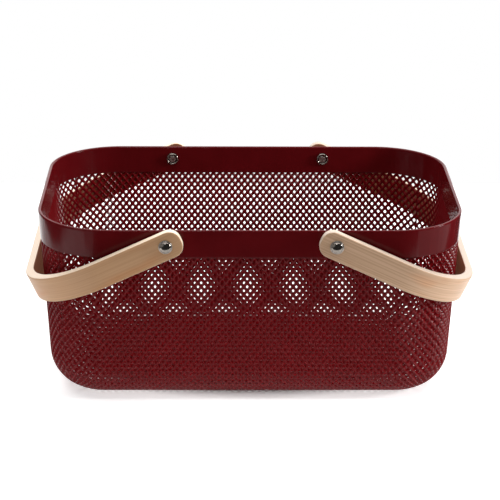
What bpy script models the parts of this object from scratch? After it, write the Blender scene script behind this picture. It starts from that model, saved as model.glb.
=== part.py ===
"""Mesh basket with two bent-wood swing handles, in metres.

+Z is up, +X is along the long side and the front is -Y. The origin is under the
middle of the floor. The body is a deep-drawn mesh shell with a folded strip over
its top edge. Two bent-ply straps turn on four sets of domed nuts and screws.
"""

import math

import bmesh
import bpy
from mathutils import Vector

# Body, measured on the outer face of the rim band
RIM_LENGTH = 0.365
RIM_WIDTH = 0.2437
RIM_HEIGHT = 0.1603
RIM_CORNER_RADIUS = 0.0635
END_DRAFT = math.radians(3.35)
SIDE_DRAFT = math.radians(3.35)
FOOT_FILLET = 0.0343
FLOOR_CORNER_RADIUS = 0.013
CORNER_SEGMENTS = 8
FILLET_SEGMENTS = 5

# Sheet and folded band
MESH_THICKNESS = 0.001
BAND_HEIGHT = 0.0253
BAND_LEAF = 0.0006
FOLD_SEGMENTS = 4
SEAT_GAP = 0.0003

# Diamond net, as pitches on the flat sheet before it is drawn
NET_PITCH_ALONG_X = 0.047
NET_PITCH_ALONG_Y = 0.0593
NET_OPEN_SHARE = 0.62
NET_HEM = 0.003
NET_SMALLEST_SHARE = 0.2

# Bent-ply strap; held level, its middle stands past the rim by the overhang
STRAP_OVERHANG = 0.0191
STRAP_WIDTH = 0.0232
STRAP_THICKNESS = 0.0078
STRAP_BEND_STEP = 0.0063
STRAP_TAIL = 0.0144
STRAP_TAIL_CORNER = 0.010
STRAP_EDGE_ROUND = 0.0011
STRAP_BEND_SEGMENTS = 12
STRAP_TAIL_SEGMENTS = 5
EDGE_ROUND_SEGMENTS = 2
WASHER_SEAT_DEPTH = 0.0006

# Pivots and fasteners
PIVOT_OFFSET = 0.0712
PIVOT_ABOVE_BAND_MIDDLE = 0.0012
BARREL_RADIUS = 0.0025
DOME_RADIUS = 0.0049
DOME_HEIGHT = 0.0026
DOME_EDGE = 0.0005
WASHER_RADIUS = 0.0057
WASHER_THICKNESS = 0.0008
SPACER_RADIUS = 0.0054
SPACER_THICKNESS = 0.0019
CUP_RADIUS = 0.0056
CUP_LIP = 0.0017
CUP_HEIGHT = 0.0019
CUP_FLOOR = 0.0006
SCREW_HEAD_HEIGHT = 0.0012
SCREW_HEAD_EDGE = 0.0006
SCREW_SHANK_RADIUS = 0.0014
SCREW_TIP_GAP = 0.0022
BORE_END_WALL = 0.0008
RECESS_WIDTH = 0.0009
RECESS_LENGTH = 0.0036
RECESS_DEPTH = 0.0007
ROUND_SEGMENTS = 18
DOME_SEGMENTS = 5
LIP_SEGMENTS = 4

# Running gaps of the swing handles
REST_GAP = 0.0003
MEETING_GAP = 0.0004

# Working values of the construction
CUTTER_SPILL = 0.002
SLOPE_STEP = 0.0005
SAME_POINT = 1e-6
SHARP_ANGLE = math.radians(35.0)
HALVINGS = 50

# Sizes that follow from those above
FOOT_CORNER_RADIUS = FOOT_FILLET + FLOOR_CORNER_RADIUS
BAND_THICKNESS = 2 * BAND_LEAF + 2 * SEAT_GAP + MESH_THICKNESS
MESH_INSET = BAND_LEAF + SEAT_GAP
MESH_TOP = RIM_HEIGHT - BAND_LEAF - SEAT_GAP
PIVOT_HEIGHT = RIM_HEIGHT - BAND_HEIGHT / 2 + PIVOT_ABOVE_BAND_MIDDLE
STRAP_REACH = RIM_LENGTH / 2 - PIVOT_OFFSET + STRAP_OVERHANG
STRAP_BEND_RADIUS = RIM_CORNER_RADIUS + STRAP_BEND_STEP

# Finishes, each as colour, roughness and metallic value
MAROON_COAT = ((0.16, 0.012, 0.02), 0.3, 0.0)
BIRCH_PLY = ((0.62, 0.43, 0.26), 0.5, 0.0)
CHROME = ((0.75, 0.75, 0.75), 0.12, 1.0)
ZINC = ((0.55, 0.55, 0.54), 0.3, 1.0)


def clear_scene():
    for scene_object in list(bpy.data.objects):
        bpy.data.objects.remove(scene_object, do_unlink=True)


def make_material(name, finish):
    colour, roughness, metallic = finish
    material = bpy.data.materials.new(name)
    material.use_nodes = True
    shader = material.node_tree.nodes["Principled BSDF"]
    shader.inputs["Base Color"].default_value = (*colour, 1.0)
    shader.inputs["Roughness"].default_value = roughness
    shader.inputs["Metallic"].default_value = metallic
    return material


def mesh_from(name, shape):
    bmesh.ops.recalc_face_normals(shape, faces=shape.faces)
    mesh = bpy.data.meshes.new(name)
    shape.to_mesh(mesh)
    shape.free()
    mesh.shade_smooth()
    mesh.set_sharp_from_angle(angle=SHARP_ANGLE)
    return mesh


def place(name, mesh, location=(0, 0, 0), rotation=(0, 0, 0)):
    placed = bpy.data.objects.new(name, mesh)
    bpy.context.scene.collection.objects.link(placed)
    placed.location = location
    placed.rotation_euler = rotation
    return placed


def place_part(name, mesh, finish, location=(0, 0, 0), rotation=(0, 0, 0)):
    """Place a sub-part with a mesh and a material of its own."""
    part = place(name, mesh.copy(), location, rotation)
    part.data.materials.append(make_material(name, finish))
    return part


def cut(part, cutter):
    """Take the cutter out of the part, and keep the cutter as a wire guide."""
    cutter.hide_render = True
    cutter.display_type = "WIRE"
    boolean = part.modifiers.new("cut " + cutter.name, "BOOLEAN")
    boolean.operation = "DIFFERENCE"
    boolean.solver = "EXACT"
    boolean.object = cutter


# Body surface

def straight_half(rim_half, draft, z):
    """Half the outer size of the draft cone at height z, with no fillet."""
    return rim_half - (RIM_HEIGHT - z) * math.tan(draft)


def half_size(rim_half, draft, inset, z):
    """Half the size at height z of the wall and foot fillet, moved inwards by inset."""
    tangent_height = FOOT_FILLET * (1 - math.sin(draft))
    tangent_half = straight_half(rim_half, draft, tangent_height) - MESH_INSET / math.cos(draft)
    centre = tangent_half - FOOT_FILLET * math.cos(draft)
    radius = FOOT_FILLET - (inset - MESH_INSET)
    if z < FOOT_FILLET - radius * math.sin(draft):
        drop = min(radius, FOOT_FILLET - z)
        return centre + math.sqrt(radius ** 2 - drop ** 2)
    return straight_half(rim_half, draft, z) - inset / math.cos(draft)


def corner_centre(z):
    """Centre of the plan corner in the first quadrant at height z."""
    slope = (RIM_CORNER_RADIUS - FOOT_CORNER_RADIUS) / RIM_HEIGHT
    radius = FOOT_CORNER_RADIUS + slope * z
    along_x = straight_half(RIM_LENGTH / 2, END_DRAFT, z) - radius
    along_y = straight_half(RIM_WIDTH / 2, SIDE_DRAFT, z) - radius
    return along_x, along_y


def section(inset, z):
    """Closed plan outline of the body at height z, anticlockwise from +X."""
    centre_x, centre_y = corner_centre(z)
    reach_x = half_size(RIM_LENGTH / 2, END_DRAFT, inset, z) - centre_x
    reach_y = half_size(RIM_WIDTH / 2, SIDE_DRAFT, inset, z) - centre_y
    outline = []
    for quarter in range(4):
        side_x = 1 if quarter in (0, 3) else -1
        side_y = 1 if quarter in (0, 1) else -1
        for step in range(CORNER_SEGMENTS + 1):
            share = step / CORNER_SEGMENTS
            if quarter in (1, 3):
                share = 1 - share
            turn = share * math.pi / 2
            x = side_x * (centre_x + reach_x * math.cos(turn))
            y = side_y * (centre_y + reach_y * math.sin(turn))
            outline.append((x, y, z))
    return outline


def fillet_heights(radius, base):
    """Heights of the rings on the foot fillet, from its base up to the wall."""
    steepest = math.pi / 2 - min(END_DRAFT, SIDE_DRAFT)
    heights = []
    for step in range(FILLET_SEGMENTS + 1):
        turn = steepest * step / FILLET_SEGMENTS
        heights.append(base + radius * (1 - math.cos(turn)))
    return heights


def add_rings(shape, outlines):
    return [[shape.verts.new(point) for point in outline] for outline in outlines]


def bridge(shape, first, second):
    count = len(first)
    for index in range(count):
        following = (index + 1) % count
        shape.faces.new((first[index], first[following], second[following], second[index]))


def mesh_shell():
    """Closed thin shell of the drawn sheet: outer face, top edge, inner face."""
    shape = bmesh.new()
    outer_heights = fillet_heights(FOOT_FILLET, 0.0) + [MESH_TOP]
    inner_heights = fillet_heights(FOOT_FILLET - MESH_THICKNESS, MESH_THICKNESS) + [MESH_TOP]
    outlines = [section(MESH_INSET, z) for z in outer_heights]
    outlines += [section(MESH_INSET + MESH_THICKNESS, z) for z in reversed(inner_heights)]
    rings = add_rings(shape, outlines)
    for first, second in zip(rings, rings[1:]):
        bridge(shape, first, second)
    shape.faces.new(rings[0])
    shape.faces.new(rings[-1])
    bmesh.ops.triangulate(shape, faces=shape.faces)
    return shape


# Net of diamonds, laid out on the flat sheet and drawn with it

def sheet_point(along_x, along_y):
    """Point on the outer face of the drawn sheet for a point of the flat sheet."""
    flat_x, flat_y = corner_centre(0.0)
    over_x = max(0.0, abs(along_x) - flat_x)
    over_y = max(0.0, abs(along_y) - flat_y)
    run = math.hypot(over_x, over_y)
    reach_x = half_size(RIM_LENGTH / 2, END_DRAFT, MESH_INSET, 0.0) - flat_x
    reach_y = half_size(RIM_WIDTH / 2, SIDE_DRAFT, MESH_INSET, 0.0) - flat_y
    flat_run = (reach_x + reach_y) / 2
    draft = (END_DRAFT + SIDE_DRAFT) / 2
    steepest = math.pi / 2 - draft
    share = min(1.0, run / flat_run)
    if run < flat_run:
        z = 0.0
    elif run < flat_run + FOOT_FILLET * steepest:
        z = FOOT_FILLET * (1 - math.cos((run - flat_run) / FOOT_FILLET))
    else:
        wall_run = run - flat_run - FOOT_FILLET * steepest
        z = FOOT_FILLET * (1 - math.sin(draft)) + wall_run * math.cos(draft)
    centre_x, centre_y = corner_centre(z)
    reach_x = half_size(RIM_LENGTH / 2, END_DRAFT, MESH_INSET, z) - centre_x
    reach_y = half_size(RIM_WIDTH / 2, SIDE_DRAFT, MESH_INSET, z) - centre_y
    turn = math.atan2(over_y, over_x)
    x = min(abs(along_x), flat_x) * centre_x / flat_x + share * reach_x * math.cos(turn)
    y = min(abs(along_y), flat_y) * centre_y / flat_y + share * reach_y * math.sin(turn)
    return Vector((math.copysign(x, along_x), math.copysign(y, along_y), z))


def sheet_normal(along_x, along_y):
    """Outward direction of the drawn sheet at a point of the flat sheet."""
    across = sheet_point(along_x + SLOPE_STEP, along_y) - sheet_point(along_x - SLOPE_STEP, along_y)
    along = sheet_point(along_x, along_y + SLOPE_STEP) - sheet_point(along_x, along_y - SLOPE_STEP)
    return along.cross(across).normalized()


def crossing(low, high, highest):
    """Point between two points of the flat sheet where the drawn sheet reaches a height."""
    for _ in range(HALVINGS):
        middle = ((low[0] + high[0]) / 2, (low[1] + high[1]) / 2)
        if sheet_point(*middle).z <= highest:
            low = middle
        else:
            high = middle
    return low


def below_hem(corners, highest):
    """Outline of a diamond on the flat sheet, cut off at the plain hem."""
    kept = []
    for first, second in zip(corners, corners[1:] + corners[:1]):
        first_in = sheet_point(*first).z <= highest
        second_in = sheet_point(*second).z <= highest
        if first_in:
            kept.append(first)
        if first_in and not second_in:
            kept.append(crossing(first, second, highest))
        if second_in and not first_in:
            kept.append(crossing(second, first, highest))
    return kept


def outline_area(corners):
    area = 0.0
    for (x1, y1), (x2, y2) in zip(corners, corners[1:] + corners[:1]):
        area += (x1 * y2 - x2 * y1) / 2
    return abs(area)


def net_cutter():
    """One prism through the sheet for each diamond below the band."""
    shape = bmesh.new()
    highest = RIM_HEIGHT - BAND_HEIGHT - NET_HEM
    half_x = NET_OPEN_SHARE * NET_PITCH_ALONG_X / 2
    half_y = NET_OPEN_SHARE * NET_PITCH_ALONG_Y / 2
    bulge = FOOT_FILLET * (1 / math.cos(max(half_x, half_y) / FOOT_FILLET) - 1)
    reach_out = bulge + CUTTER_SPILL
    reach_in = MESH_THICKNESS + CUTTER_SPILL
    steps_x = math.ceil((RIM_LENGTH / 2 + RIM_HEIGHT) / (NET_PITCH_ALONG_X / 2))
    steps_y = math.ceil((RIM_WIDTH / 2 + RIM_HEIGHT) / (NET_PITCH_ALONG_Y / 2))
    gaps = 0
    for column in range(-steps_x, steps_x + 1):
        for row in range(-steps_y, steps_y + 1):
            if (column + row) % 2 == 0:
                continue
            centre_x = column * NET_PITCH_ALONG_X / 2
            centre_y = row * NET_PITCH_ALONG_Y / 2
            corners = [
                (centre_x + half_x, centre_y),
                (centre_x, centre_y + half_y),
                (centre_x - half_x, centre_y),
                (centre_x, centre_y - half_y),
            ]
            smallest = NET_SMALLEST_SHARE * outline_area(corners)
            corners = below_hem(corners, highest)
            if len(corners) < 3 or outline_area(corners) < smallest:
                continue
            outside = []
            inside = []
            for corner in corners:
                point = sheet_point(*corner)
                normal = sheet_normal(*corner)
                outside.append(shape.verts.new(point + normal * reach_out))
                inside.append(shape.verts.new(point - normal * reach_in))
            shape.faces.new(outside)
            shape.faces.new(inside)
            bridge(shape, outside, inside)
            gaps += 1
    print("diamond gaps in the net:", gaps)
    return shape


# Folded band

def band_outline(depth, inset):
    """Plan outline at a depth below the rim's top edge."""
    return section(inset, RIM_HEIGHT - depth)


def band_ring():
    """Strip folded over the mesh: a U in section, closed round the rim."""
    shape = bmesh.new()
    half = BAND_THICKNESS / 2
    slot_half = half - BAND_LEAF
    outlines = [band_outline(BAND_HEIGHT, 0.0)]
    for step in range(FOLD_SEGMENTS + 1):
        turn = math.pi * step / FOLD_SEGMENTS
        outlines.append(band_outline(half - half * math.sin(turn), half - half * math.cos(turn)))
    outlines.append(band_outline(BAND_HEIGHT, BAND_THICKNESS))
    outlines.append(band_outline(BAND_HEIGHT, half + slot_half))
    outlines.append(band_outline(BAND_LEAF, half + slot_half))
    outlines.append(band_outline(BAND_LEAF, half - slot_half))
    outlines.append(band_outline(BAND_HEIGHT, half - slot_half))
    rings = add_rings(shape, outlines)
    for index, ring in enumerate(rings):
        bridge(shape, ring, rings[(index + 1) % len(rings)])
    return shape


# Bent-ply strap

def strap_path():
    """Stations along one strap, each with its place, its inward side and half its width."""
    outer_y = strap_outer_y()
    stations = []
    straight = STRAP_TAIL - STRAP_TAIL_CORNER
    for step in range(STRAP_TAIL_SEGMENTS + 1):
        turn = math.pi / 2 * step / STRAP_TAIL_SEGMENTS
        back = straight + STRAP_TAIL_CORNER * math.cos(turn)
        half_width = STRAP_WIDTH / 2 - STRAP_TAIL_CORNER * (1 - math.sin(turn))
        stations.append(((-back, -outer_y), (0.0, 1.0), half_width))
    bend_x = STRAP_REACH - STRAP_BEND_RADIUS
    bend_y = outer_y - STRAP_BEND_RADIUS
    for side in (-1, 1):
        for step in range(STRAP_BEND_SEGMENTS + 1):
            share = step / STRAP_BEND_SEGMENTS
            turn = math.pi / 2 * (share - 1 if side < 0 else share)
            x = bend_x + STRAP_BEND_RADIUS * math.cos(turn)
            y = side * bend_y + STRAP_BEND_RADIUS * math.sin(turn)
            stations.append(((x, y), (-math.cos(turn), -math.sin(turn)), STRAP_WIDTH / 2))
    first_tail = stations[:STRAP_TAIL_SEGMENTS + 1]
    for (x, y), (inward_x, inward_y), half_width in reversed(first_tail):
        stations.append(((x, -y), (inward_x, -inward_y), half_width))
    return stations


def strap_section(half_width):
    """Rounded rectangle in (depth from the outer face, height), as a closed loop."""
    centre_depth = STRAP_THICKNESS / 2 - STRAP_EDGE_ROUND
    centre_height = half_width - STRAP_EDGE_ROUND
    loop = []
    for quarter in range(4):
        depth_side = 1 if quarter in (0, 3) else -1
        height_side = 1 if quarter in (0, 1) else -1
        for step in range(EDGE_ROUND_SEGMENTS + 1):
            turn = math.pi / 2 * (quarter + step / EDGE_ROUND_SEGMENTS)
            depth = STRAP_THICKNESS / 2 + depth_side * centre_depth + STRAP_EDGE_ROUND * math.cos(turn)
            height = height_side * centre_height + STRAP_EDGE_ROUND * math.sin(turn)
            loop.append((depth, height))
    return loop


def strap_shape():
    """Strap along local +X, with the hinge axis on local Y through the origin."""
    shape = bmesh.new()
    outlines = []
    for (x, y), (inward_x, inward_y), half_width in strap_path():
        loop = strap_section(half_width)
        outlines.append([(x + inward_x * depth, y + inward_y * depth, height) for depth, height in loop])
    rings = add_rings(shape, outlines)
    for first, second in zip(rings, rings[1:]):
        bridge(shape, first, second)
    shape.faces.new(rings[0])
    shape.faces.new(rings[-1])
    return shape


def strap_cutter():
    """Barrel holes through both arms, with the washer seats outside."""
    shape = bmesh.new()
    hole_radius = BARREL_RADIUS + SEAT_GAP
    seat_radius = WASHER_RADIUS + SEAT_GAP
    outer_y = strap_outer_y()
    inner_y = strap_inner_y()
    profile = [
        (0.0, outer_y + CUTTER_SPILL),
        (seat_radius, outer_y + CUTTER_SPILL),
        (seat_radius, outer_y - WASHER_SEAT_DEPTH),
        (hole_radius, outer_y - WASHER_SEAT_DEPTH),
        (hole_radius, inner_y - CUTTER_SPILL),
        (0.0, inner_y - CUTTER_SPILL),
    ]
    turned(shape, profile)
    mirrored = [(radius, -along) for radius, along in profile]
    turned(shape, mirrored)
    return shape


# Turned pieces, about the local Y axis

def turned(shape, profile):
    """Turn a profile of (radius, place along Y) points about the Y axis."""
    points = [shape.verts.new((radius, along, 0.0)) for radius, along in profile]
    edges = [shape.edges.new(pair) for pair in zip(points, points[1:])]
    bmesh.ops.spin(
        shape,
        geom=points + edges,
        cent=(0, 0, 0),
        axis=(0, 1, 0),
        angle=2 * math.pi,
        steps=ROUND_SEGMENTS,
        use_merge=True,
    )
    bmesh.ops.remove_doubles(shape, verts=shape.verts, dist=SAME_POINT)


def follow_band(shape, along):
    """Tilt the end that faces the band so that it lies on the band's slope."""
    for vert in shape.verts:
        if abs(vert.co.y - along) < SAME_POINT:
            vert.co.y -= vert.co.z * math.tan(SIDE_DRAFT)


def band_face_y():
    """Distance of the band's outer face from the middle plane at pivot height."""
    return straight_half(RIM_WIDTH / 2, SIDE_DRAFT, PIVOT_HEIGHT)


def strap_inner_y():
    return band_face_y() + SEAT_GAP + SPACER_THICKNESS + SEAT_GAP


def strap_outer_y():
    return strap_inner_y() + STRAP_THICKNESS


def outward(distance):
    """Local Y of a point at this distance outside the band's outer face."""
    return -distance


def inward(distance):
    """Local Y of a point at this distance inside the band's outer face."""
    return distance


def washer_base():
    return strap_outer_y() - band_face_y() - WASHER_SEAT_DEPTH + SEAT_GAP


def dome_base():
    return washer_base() + WASHER_THICKNESS + SEAT_GAP


def spacer_shape():
    shape = bmesh.new()
    bore = BARREL_RADIUS + SEAT_GAP
    near = SEAT_GAP / math.cos(SIDE_DRAFT)
    far = SEAT_GAP + SPACER_THICKNESS
    profile = [
        (bore, outward(near)),
        (SPACER_RADIUS, outward(near)),
        (SPACER_RADIUS, outward(far)),
        (bore, outward(far)),
        (bore, outward(near)),
    ]
    turned(shape, profile)
    follow_band(shape, outward(near))
    return shape


def washer_shape():
    shape = bmesh.new()
    bore = BARREL_RADIUS + SEAT_GAP
    base = washer_base()
    profile = [
        (bore, outward(base)),
        (WASHER_RADIUS, outward(base)),
        (WASHER_RADIUS, outward(base + WASHER_THICKNESS)),
        (bore, outward(base + WASHER_THICKNESS)),
        (bore, outward(base)),
    ]
    turned(shape, profile)
    return shape


def nut_shape():
    """Domed cap with a blind threaded barrel, the hinge pin of the strap."""
    shape = bmesh.new()
    base = dome_base()
    rise = DOME_HEIGHT - DOME_EDGE
    profile = []
    for step in range(DOME_SEGMENTS + 1):
        turn = math.pi / 2 * step / DOME_SEGMENTS
        profile.append((DOME_RADIUS * math.sin(turn), outward(base + DOME_EDGE + rise * math.cos(turn))))
    bore = SCREW_SHANK_RADIUS + SEAT_GAP
    profile += [
        (DOME_RADIUS, outward(base)),
        (BARREL_RADIUS, outward(base)),
        (BARREL_RADIUS, outward(-BAND_THICKNESS)),
        (bore, outward(-BAND_THICKNESS)),
        (bore, outward(base - BORE_END_WALL)),
        (0.0, outward(base - BORE_END_WALL)),
    ]
    turned(shape, profile)
    return shape


def cup_base():
    """Distance inwards from the band's outer face to the cup washer's base at the axis."""
    return BAND_THICKNESS + SEAT_GAP / math.cos(SIDE_DRAFT)


def cup_seat():
    return cup_base() + CUP_RADIUS * math.tan(SIDE_DRAFT) + CUP_FLOOR


def cup_shape():
    """Ring with a raised round lip that holds the screw's head."""
    shape = bmesh.new()
    bore = SCREW_SHANK_RADIUS + SEAT_GAP
    base = cup_base()
    seat = cup_seat()
    lip_centre = CUP_RADIUS - CUP_LIP / 2
    lip_start = seat + CUP_HEIGHT - CUP_LIP / 2
    profile = [
        (bore, inward(base)),
        (CUP_RADIUS, inward(base)),
    ]
    for step in range(LIP_SEGMENTS + 1):
        turn = math.pi * step / LIP_SEGMENTS
        radius = lip_centre + CUP_LIP / 2 * math.cos(turn)
        profile.append((radius, inward(lip_start + CUP_LIP / 2 * math.sin(turn))))
    profile += [
        (CUP_RADIUS - CUP_LIP, inward(seat)),
        (bore, inward(seat)),
        (bore, inward(base)),
    ]
    turned(shape, profile)
    follow_band(shape, inward(base))
    return shape


def screw_shape():
    """Pan-head screw in the cup washer, with its shank in the nut's barrel."""
    shape = bmesh.new()
    head_radius = CUP_RADIUS - CUP_LIP - SEAT_GAP
    base = cup_seat() + SEAT_GAP
    top = base + SCREW_HEAD_HEIGHT
    tip = outward(dome_base() - BORE_END_WALL - SCREW_TIP_GAP)
    profile = [
        (0.0, inward(top)),
        (head_radius - SCREW_HEAD_EDGE, inward(top)),
        (head_radius, inward(top - SCREW_HEAD_EDGE)),
        (head_radius, inward(base)),
        (SCREW_SHANK_RADIUS, inward(base)),
        (SCREW_SHANK_RADIUS, tip),
        (0.0, tip),
    ]
    turned(shape, profile)
    return shape


def recess_cutter():
    """Cross recess in the screw's head."""
    shape = bmesh.new()
    top = cup_seat() + SEAT_GAP + SCREW_HEAD_HEIGHT
    half_width = RECESS_WIDTH / 2
    half_length = RECESS_LENGTH / 2
    corners = []
    arm = ((half_length, -half_width), (half_length, half_width), (half_width, half_width))
    for quarter in range(4):
        turn = quarter * math.pi / 2
        for x, z in arm:
            along_x = x * math.cos(turn) - z * math.sin(turn)
            along_z = x * math.sin(turn) + z * math.cos(turn)
            corners.append((along_x, along_z))
    floor = [shape.verts.new((x, top - RECESS_DEPTH, z)) for x, z in corners]
    mouth = [shape.verts.new((x, top + RECESS_DEPTH, z)) for x, z in corners]
    shape.faces.new(floor)
    shape.faces.new(mouth)
    bridge(shape, floor, mouth)
    return shape


# Rest and end of the handles' swing

def rest_angle():
    """Angle below level at which the strap's lower inner edge meets the end wall."""
    inner_reach = STRAP_REACH - STRAP_THICKNESS
    low = 0.0
    high = math.pi / 2
    for _ in range(HALVINGS):
        angle = (low + high) / 2
        edge_x = PIVOT_OFFSET + inner_reach * math.cos(angle) - STRAP_WIDTH / 2 * math.sin(angle)
        edge_z = PIVOT_HEIGHT - inner_reach * math.sin(angle) - STRAP_WIDTH / 2 * math.cos(angle)
        wall = half_size(RIM_LENGTH / 2, END_DRAFT, MESH_INSET, max(0.0, edge_z))
        if edge_x > wall + REST_GAP / math.cos(END_DRAFT):
            low = angle
        else:
            high = angle
    return low


def meeting_angle():
    """Angle past upright at which the two straps meet over the middle."""
    low = 0.0
    high = math.pi / 2
    for _ in range(HALVINGS):
        angle = (low + high) / 2
        edge_x = -PIVOT_OFFSET + STRAP_REACH * math.sin(angle) + STRAP_WIDTH / 2 * math.cos(angle)
        if edge_x < -MEETING_GAP / 2:
            low = angle
        else:
            high = angle
    return low


# Assembly

def build_body():
    return place_part("mesh_body", mesh_from("mesh_body", mesh_shell()), MAROON_COAT)


def open_net(body):
    cut(body, place("net_cutter", mesh_from("net_cutter", net_cutter())))


def build_band():
    return place_part("rim_band", mesh_from("rim_band", band_ring()), MAROON_COAT)


def build_barrel_holes(parts):
    """Clear holes for the four barrels through the band and the mesh inside it."""
    shape = bmesh.new()
    radius = BARREL_RADIUS + SEAT_GAP
    reach = BAND_THICKNESS + CUTTER_SPILL
    turned(shape, [(0.0, -reach), (radius, -reach), (radius, reach), (0.0, reach)])
    hole = mesh_from("barrel_hole", shape)
    for side in (-1, 1):
        for face in (-1, 1):
            name = "barrel_hole_" + str(side) + "_" + str(face)
            cutter = place(name, hole, (side * PIVOT_OFFSET, face * band_face_y(), PIVOT_HEIGHT))
            for part in parts:
                cut(part, cutter)


def build_handles():
    mesh = mesh_from("strap", strap_shape())
    holes = mesh_from("strap_holes", strap_cutter())
    angle = rest_angle()
    for name, turn in (("right_handle", 0.0), ("left_handle", math.pi)):
        side = 1 if turn == 0.0 else -1
        location = (side * PIVOT_OFFSET, 0, PIVOT_HEIGHT)
        rotation = (0, angle, turn)
        strap = place_part(name, mesh, BIRCH_PLY, location, rotation)
        cut(strap, place(name + "_holes", holes, location, rotation))


def build_fasteners():
    pieces = (
        ("spacer", mesh_from("spacer", spacer_shape()), ZINC),
        ("outer_washer", mesh_from("outer_washer", washer_shape()), ZINC),
        ("dome_nut", mesh_from("dome_nut", nut_shape()), CHROME),
        ("cup_washer", mesh_from("cup_washer", cup_shape()), CHROME),
        ("screw", mesh_from("screw", screw_shape()), ZINC),
    )
    recess = mesh_from("recess_cutter", recess_cutter())
    for face_name, face, turn in (("front", -1, 0.0), ("back", 1, math.pi)):
        for side_name, side in (("left", -1), ("right", 1)):
            location = (side * PIVOT_OFFSET, face * band_face_y(), PIVOT_HEIGHT)
            rotation = (0, 0, turn)
            for piece_name, mesh, finish in pieces:
                name = face_name + "_" + side_name + "_" + piece_name
                part = place_part(name, mesh, finish, location, rotation)
                if piece_name == "screw":
                    cut(part, place(name + "_recess", recess, location, rotation))


def main():
    clear_scene()
    body = build_body()
    band = build_band()
    build_barrel_holes((body, band))
    open_net(body)
    build_handles()
    build_fasteners()
    rest = math.degrees(rest_angle())
    print("strap at rest, degrees below level:", round(rest, 3))
    print("swing from rest to meeting, degrees:", round(rest + 90 + math.degrees(meeting_angle()), 3))


main()
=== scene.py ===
import math

import bmesh
import bpy
import numpy as np
from mathutils import Matrix, Vector


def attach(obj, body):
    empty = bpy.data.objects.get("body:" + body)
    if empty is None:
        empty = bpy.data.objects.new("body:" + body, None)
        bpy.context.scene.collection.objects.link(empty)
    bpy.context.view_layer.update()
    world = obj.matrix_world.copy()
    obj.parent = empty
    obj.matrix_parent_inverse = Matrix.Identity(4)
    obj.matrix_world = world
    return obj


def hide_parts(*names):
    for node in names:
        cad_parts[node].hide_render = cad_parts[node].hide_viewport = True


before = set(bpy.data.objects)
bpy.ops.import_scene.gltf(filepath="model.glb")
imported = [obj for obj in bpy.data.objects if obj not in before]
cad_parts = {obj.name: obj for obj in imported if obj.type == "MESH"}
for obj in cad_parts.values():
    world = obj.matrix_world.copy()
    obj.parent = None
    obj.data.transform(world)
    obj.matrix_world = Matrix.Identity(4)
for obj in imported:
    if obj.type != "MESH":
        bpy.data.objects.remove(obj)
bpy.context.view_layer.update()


# The drawn mesh body: expanded steel, slit and pulled open into diamonds, drawn into
# a box with rounded corners and dipped in a thick maroon coat. The floor and the two
# long walls are one sheet; each end wall is a panel of its own.
rim_length = 0.365
rim_width = 0.2437
rim_top = 0.1603
rim_round = 0.0635
foot_round = 0.0473
wall_draft = math.radians(3.35)
foot_centre_height = 0.0343
sheet_inset = 0.0014
sheet_rise = 0.0012
diamond_width = 0.005955
diamond_height = 0.0074477
wall_stretch = 1.02313
back_shift = (0.00037, -0.00067)
front_shift = (0.00008, 0.00014)
sheet_skew = 0.00057
spare_diamonds = 5
strand_cage_half = 0.00138
strand_cage_lift = 0.00118
ridge_crease = 0.5
thinner_at_seam = 0.12
thinning_steps = 4
long_seam = 0.16027
end_seam = 0.09826
seam_spare = 0.012
stretched_zone = 0.0495
end_lean = 0.6
end_lean_height = 0.076
top_in_slot = 0.0045
band_height = 0.0253
sides = (("left", -1), ("right", 1))
faces = (("front", -1), ("back", 1))

sharp_turn = math.radians(50)
merge_reach = 1e-6
cut_reach = 1e-7
least_length = 1e-9

foot_bend = foot_centre_height - sheet_rise
steepest = math.pi / 2 - wall_draft
foot_run = foot_bend * steepest


def wall_half(rim_size, height):
    """Half the box's outer length or width at a height."""
    return rim_size / 2 - (rim_top - height) * math.tan(wall_draft)


def corner_round(height):
    """Radius of the box's upright corners at a height."""
    return foot_round + (rim_round - foot_round) * height / rim_top


def floor_half(rim_size):
    """Half the flat floor, up to where the foot starts to bend up."""
    tangent = foot_centre_height - foot_bend * math.cos(steepest)
    at_tangent = wall_half(rim_size, tangent) - sheet_inset / math.cos(wall_draft)
    return at_tangent - foot_bend * math.sin(steepest)


def profile(run):
    """Height, outward step and lean of the wall at a run up the sheet from the floor's edge."""
    lean = np.clip(run, 0.0, foot_run) / foot_bend
    straight = np.maximum(run - foot_run, 0.0)
    height = foot_centre_height - foot_bend * np.cos(lean) + straight * math.cos(wall_draft)
    outward = foot_bend * np.sin(lean) + straight * math.sin(wall_draft) + np.minimum(run, 0.0)
    return height, outward, lean


def on_ring(travel, run, lift, along_size, across_size):
    """Point of the sheet at a travel along its section from the middle of one side."""
    height, outward, lean = profile(run)
    start = wall_half(along_size, height) - corner_round(height)
    centre = wall_half(across_size, height) - corner_round(height)
    reach = floor_half(across_size) + outward - centre
    beyond = np.maximum(np.abs(travel) - start, 0.0)
    turn = beyond / reach
    reach = reach + lift * np.sin(lean)
    along = np.minimum(np.abs(travel), start) + reach * np.sin(turn)
    across = centre + reach * np.cos(turn)
    return np.sign(travel) * along, across, height - lift * np.cos(lean)


def seam_travel(run, along_size):
    """Travel from the middle of a side to the seam halfway round the corner."""
    height, outward = profile(run)[:2]
    start = wall_half(along_size, height) - corner_round(height)
    reach = floor_half(along_size) + outward - start
    return start + reach * math.pi / 4


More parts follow.
